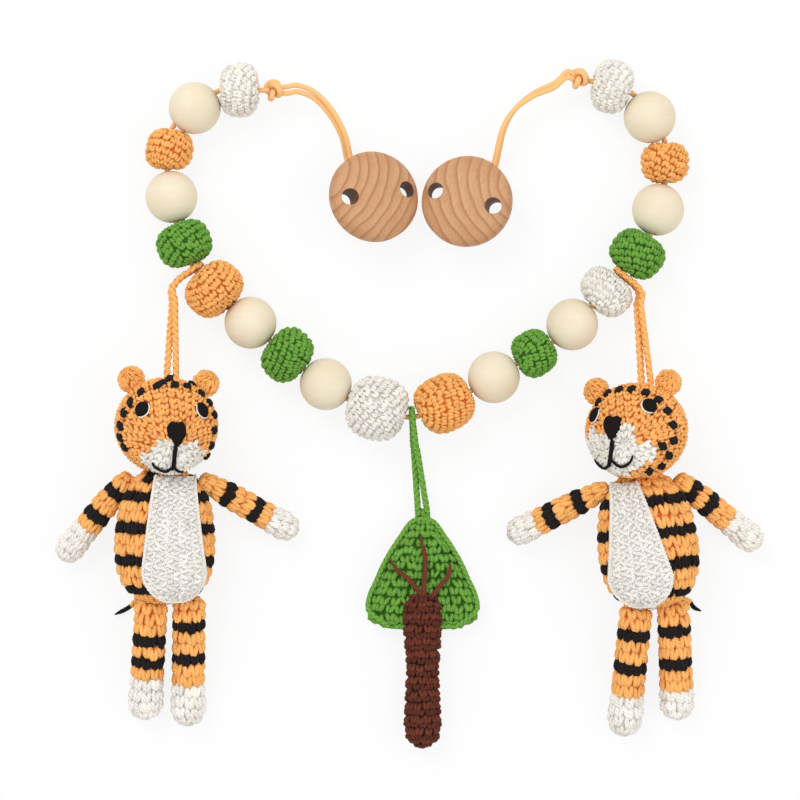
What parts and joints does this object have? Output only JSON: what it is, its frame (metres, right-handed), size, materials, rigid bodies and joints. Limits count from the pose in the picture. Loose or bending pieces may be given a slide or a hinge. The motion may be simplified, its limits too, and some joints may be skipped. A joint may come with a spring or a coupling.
{
  "type": "pram chain toy",
  "caption": "Elastic chain of wooden and crocheted beads with a wooden clip at each end, from which two crocheted tigers and a crocheted tree hang by yarn loops.",
  "frame": {"origin": "on the table, under the middle of the toy as it lies spread out", "axes": "+X right and +Y up as the spread toy is seen from above, +Z up from the table towards the viewer"},
  "size_m": [0.2736, 0.2642, 0.0386],
  "materials": {
    "wood": "satin, pale turned wood",
    "beech": "satin, planed beech",
    "orange_yarn": "crocheted cotton yarn",
    "green_yarn": "crocheted cotton yarn",
    "white_yarn": "crocheted cotton yarn",
    "brown_yarn": "crocheted cotton yarn",
    "elastic": "smooth elastic cord",
    "steel": "plated sheet steel"
  },
  "bodies": {
    "chain": {"bead_cord": "elastic", "left_knot": "elastic", "right_knot": "elastic", "left_loop_cord": "elastic", "right_loop_cord": "elastic"},
    "left_clip": {"left_clip_disc": "beech", "left_clip_plate": "steel", "left_clip_rivet": "steel", "left_clip_pin": "steel"},
    "left_clip_jaw": {"left_clip_lever": "steel"},
    "right_clip": {"right_clip_disc": "beech", "right_clip_plate": "steel", "right_clip_rivet": "steel", "right_clip_pin": "steel"},
    "right_clip_jaw": {"right_clip_lever": "steel"},
    "left_tiger_head": {"left_tiger_head": "orange_yarn", "left_tiger_left_ear": "orange_yarn", "left_tiger_right_ear": "orange_yarn", "left_tiger_loop": "orange_yarn"},
    "left_tiger_torso": {"left_tiger_body": "orange_yarn", "left_tiger_belly_patch": "white_yarn"},
    "right_tiger_head": {"right_tiger_head": "orange_yarn", "right_tiger_left_ear": "orange_yarn", "right_tiger_right_ear": "orange_yarn", "right_tiger_loop": "orange_yarn"},
    "right_tiger_torso": {"right_tiger_body": "orange_yarn", "right_tiger_belly_patch": "white_yarn"},
    "tree": {"tree_crown": "green_yarn", "tree_trunk": "brown_yarn", "tree_loop": "green_yarn"},
    "left_tiger_left_arm": {"left_tiger_left_arm": "orange_yarn"},
    "left_tiger_right_arm": {"left_tiger_right_arm": "orange_yarn"},
    "left_tiger_left_leg": {"left_tiger_left_leg": "orange_yarn"},
    "left_tiger_right_leg": {"left_tiger_right_leg": "orange_yarn"},
    "left_tiger_tail": {"left_tiger_tail": "orange_yarn"},
    "right_tiger_left_arm": {"right_tiger_left_arm": "orange_yarn"},
    "right_tiger_right_arm": {"right_tiger_right_arm": "orange_yarn"},
    "right_tiger_left_leg": {"right_tiger_left_leg": "orange_yarn"},
    "right_tiger_right_leg": {"right_tiger_right_leg": "orange_yarn"},
    "right_tiger_tail": {"right_tiger_tail": "orange_yarn"},
    "bead_01_white_crochet": {"bead_01_white_crochet": "white_yarn"},
    "bead_02_wood": {"bead_02_wood": "wood"},
    "bead_03_orange_crochet": {"bead_03_orange_crochet": "orange_yarn"},
    "bead_04_wood": {"bead_04_wood": "wood"},
    "bead_05_green_crochet": {"bead_05_green_crochet": "green_yarn"},
    "bead_06_orange_crochet": {"bead_06_orange_crochet": "orange_yarn"},
    "bead_07_wood": {"bead_07_wood": "wood"},
    "bead_08_green_crochet": {"bead_08_green_crochet": "green_yarn"},
    "bead_09_wood": {"bead_09_wood": "wood"},
    "bead_10_white_crochet": {"bead_10_white_crochet": "white_yarn"},
    "bead_11_orange_crochet": {"bead_11_orange_crochet": "orange_yarn"},
    "bead_12_wood": {"bead_12_wood": "wood"},
    "bead_13_green_crochet": {"bead_13_green_crochet": "green_yarn"},
    "bead_14_wood": {"bead_14_wood": "wood"},
    "bead_15_white_crochet": {"bead_15_white_crochet": "white_yarn"},
    "bead_16_green_crochet": {"bead_16_green_crochet": "green_yarn"},
    "bead_17_wood": {"bead_17_wood": "wood"},
    "bead_18_orange_crochet": {"bead_18_orange_crochet": "orange_yarn"},
    "bead_19_wood": {"bead_19_wood": "wood"},
    "bead_20_white_crochet": {"bead_20_white_crochet": "white_yarn"}
  },
  "joints": [
    {"name": "left_clip_lever_open", "type": "hinge", "parent": "left_clip", "child": "left_clip_jaw", "pos_m": [-0.0152, 0.07141, 0.00788], "axis": [-0.9237, -0.1411, 0.3563], "range_deg": [0, 80]},
    {"name": "right_clip_lever_open", "type": "hinge", "parent": "right_clip", "child": "right_clip_jaw", "pos_m": [0.02165, 0.07009, 0.00685], "axis": [-0.9383, 0.2595, -0.2287], "range_deg": [0, 80]},
    {"name": "left_clip_turn", "type": "hinge", "parent": "chain", "child": "left_clip", "pos_m": [-0.0228, 0.09049, 0.00751], "axis": [0, 0, -1], "range_deg": [0, 35]},
    {"name": "right_clip_turn", "type": "hinge", "parent": "chain", "child": "right_clip", "pos_m": [0.03166, 0.08815, 0.00682], "axis": [0, 0, 1], "range_deg": [0, 30]},
    {"name": "left_tiger_swing", "type": "hinge", "parent": "chain", "child": "left_tiger_head", "pos_m": [-0.0828, 0.05192, 0.01145], "axis": [-0.5503, 0.8222, -0.1455], "range_deg": [0, 50]},
    {"name": "tree_swing", "type": "hinge", "parent": "chain", "child": "tree", "pos_m": [0.00098, -0.00505, 0.01195], "axis": [-0.9886, -0.0708, 0.133], "range_deg": [0, 90]},
    {"name": "right_tiger_swing", "type": "hinge", "parent": "chain", "child": "right_tiger_head", "pos_m": [0.08176, 0.04973, 0.0108], "axis": [-0.6398, -0.7679, -0.0315], "range_deg": [0, 50]},
    {"name": "left_tiger_neck", "type": "hinge", "parent": "left_tiger_head", "child": "left_tiger_torso", "pos_m": [-0.0932, -0.00847, 0.01804], "axis": [-0.0175, -0.9998, 0], "range_deg": [-20, 20]},
    {"name": "left_tiger_left_shoulder", "type": "hinge", "parent": "left_tiger_torso", "child": "left_tiger_left_arm", "pos_m": [-0.10937, -0.0298, 0.015], "axis": [0, 0, -1], "range_deg": [0, 75]},
    {"name": "left_tiger_right_shoulder", "type": "hinge", "parent": "left_tiger_torso", "child": "left_tiger_right_arm", "pos_m": [-0.07778, -0.03035, 0.015], "axis": [0, 0, 1], "range_deg": [0, 75]},
    {"name": "left_tiger_left_hip", "type": "hinge", "parent": "left_tiger_torso", "child": "left_tiger_left_leg", "pos_m": [-0.09926, -0.07769, 0.015], "axis": [-0.9976, 0.0698, 0], "range_deg": [0, 45]},
    {"name": "left_tiger_right_hip", "type": "hinge", "parent": "left_tiger_torso", "child": "left_tiger_right_leg", "pos_m": [-0.08473, -0.07647, 0.015], "axis": [-0.9998, 0.0175, 0], "range_deg": [0, 45]},
    {"name": "left_tiger_tail_root", "type": "hinge", "parent": "left_tiger_torso", "child": "left_tiger_tail", "pos_m": [-0.1048, -0.07409, 0.00779], "axis": [0, 0, 1], "range_deg": [-20, 20]},
    {"name": "right_tiger_neck", "type": "hinge", "parent": "right_tiger_head", "child": "right_tiger_torso", "pos_m": [0.08676, -0.01047, 0.01823], "axis": [0.1045, -0.9945, 0], "range_deg": [-20, 20]},
    {"name": "right_tiger_left_shoulder", "type": "hinge", "parent": "right_tiger_torso", "child": "right_tiger_left_arm", "pos_m": [0.0733, -0.03361, 0.015], "axis": [0, 0, -1], "range_deg": [0, 75]},
    {"name": "right_tiger_right_shoulder", "type": "hinge", "parent": "right_tiger_torso", "child": "right_tiger_right_arm", "pos_m": [0.10473, -0.0303, 0.015], "axis": [0, 0, 1], "range_deg": [0, 75]},
    {"name": "right_tiger_left_hip", "type": "hinge", "parent": "right_tiger_torso", "child": "right_tiger_left_leg", "pos_m": [0.08674, -0.07969, 0.015], "axis": [-0.9962, 0.0872, 0], "range_deg": [0, 45]},
    {"name": "right_tiger_right_hip", "type": "hinge", "parent": "right_tiger_torso", "child": "right_tiger_right_leg", "pos_m": [0.10116, -0.07817, 0.015], "axis": [-0.9986, -0.0523, 0], "range_deg": [0, 45]},
    {"name": "right_tiger_tail_root", "type": "hinge", "parent": "right_tiger_torso", "child": "right_tiger_tail", "pos_m": [0.10404, -0.07482, 0.00779], "axis": [0, 0, 1], "range_deg": [-20, 20]},
    {"name": "bead_01_spin", "type": "hinge", "parent": "chain", "child": "bead_01_white_crochet", "pos_m": [-0.06565, 0.1207, 0.0107], "axis": [-1, 0, 0], "continuous": true},
    {"name": "bead_02_spin", "type": "hinge", "parent": "chain", "child": "bead_02_wood", "pos_m": [-0.08284, 0.11387, 0.01], "axis": [-0.788, -0.6157, 0], "continuous": true},
    {"name": "bead_03_spin", "type": "hinge", "parent": "chain", "child": "bead_03_orange_crochet", "pos_m": [-0.09275, 0.09792, 0.0094], "axis": [-0.1045, -0.9945, 0], "continuous": true},
    {"name": "bead_04_spin", "type": "hinge", "parent": "chain", "child": "bead_04_wood", "pos_m": [-0.09181, 0.07965, 0.01], "axis": [0.1736, -0.9848, 0], "continuous": true},
    {"name": "bead_05_spin", "type": "hinge", "parent": "chain", "child": "bead_05_green_crochet", "pos_m": [-0.08695, 0.06153, 0.0109], "axis": [0.3584, -0.9336, 0], "continuous": true},
    {"name": "bead_06_spin", "type": "hinge", "parent": "chain", "child": "bead_06_orange_crochet", "pos_m": [-0.07531, 0.04415, 0.012], "axis": [0.7193, -0.6947, 0], "continuous": true},
    {"name": "bead_07_spin", "type": "hinge", "parent": "chain", "child": "bead_07_wood", "pos_m": [-0.06133, 0.03114, 0.0106], "axis": [0.7431, -0.6691, 0], "continuous": true},
    {"name": "bead_08_spin", "type": "hinge", "parent": "chain", "child": "bead_08_green_crochet", "pos_m": [-0.04723, 0.01885, 0.0109], "axis": [0.766, -0.6428, 0], "continuous": true},
    {"name": "bead_09_spin", "type": "hinge", "parent": "chain", "child": "bead_09_wood", "pos_m": [-0.03234, 0.00751, 0.0112], "axis": [0.8192, -0.5736, 0], "continuous": true},
    {"name": "bead_10_spin", "type": "hinge", "parent": "chain", "child": "bead_10_white_crochet", "pos_m": [-0.01265, -0.00184, 0.0126], "axis": [0.9563, -0.2924, 0], "continuous": true},
    {"name": "bead_11_spin", "type": "hinge", "parent": "chain", "child": "bead_11_orange_crochet", "pos_m": [0.01365, 0.00004, 0.0113], "axis": [0.8988, 0.4384, 0], "continuous": true},
    {"name": "bead_12_spin", "type": "hinge", "parent": "chain", "child": "bead_12_wood", "pos_m": [0.03239, 0.01017, 0.01], "axis": [0.8572, 0.515, 0], "continuous": true},
    {"name": "bead_13_spin", "type": "hinge", "parent": "chain", "child": "bead_13_green_crochet", "pos_m": [0.04806, 0.01942, 0.0094], "axis": [0.866, 0.5, 0], "continuous": true},
    {"name": "bead_14_spin", "type": "hinge", "parent": "chain", "child": "bead_14_wood", "pos_m": [0.0626, 0.03048, 0.01], "axis": [0.7314, 0.682, 0], "continuous": true},
    {"name": "bead_15_spin", "type": "hinge", "parent": "chain", "child": "bead_15_white_crochet", "pos_m": [0.07542, 0.04299, 0.0107], "axis": [0.6947, 0.7193, 0], "continuous": true},
    {"name": "bead_16_spin", "type": "hinge", "parent": "chain", "child": "bead_16_green_crochet", "pos_m": [0.08765, 0.05767, 0.0109], "axis": [0.5878, 0.809, 0], "continuous": true},
    {"name": "bead_17_spin", "type": "hinge", "parent": "chain", "child": "bead_17_wood", "pos_m": [0.09566, 0.07476, 0.01], "axis": [0.2756, 0.9613, 0], "continuous": true},
    {"name": "bead_18_spin", "type": "hinge", "parent": "chain", "child": "bead_18_orange_crochet", "pos_m": [0.09851, 0.09283, 0.0094], "axis": [0, 1, 0], "continuous": true},
    {"name": "bead_19_spin", "type": "hinge", "parent": "chain", "child": "bead_19_wood", "pos_m": [0.09245, 0.11037, 0.01], "axis": [-0.5592, 0.829, 0], "continuous": true},
    {"name": "bead_20_spin", "type": "hinge", "parent": "chain", "child": "bead_20_white_crochet", "pos_m": [0.07789, 0.12192, 0.0107], "axis": [-0.9659, 0.2588, 0], "continuous": true}
  ]
}
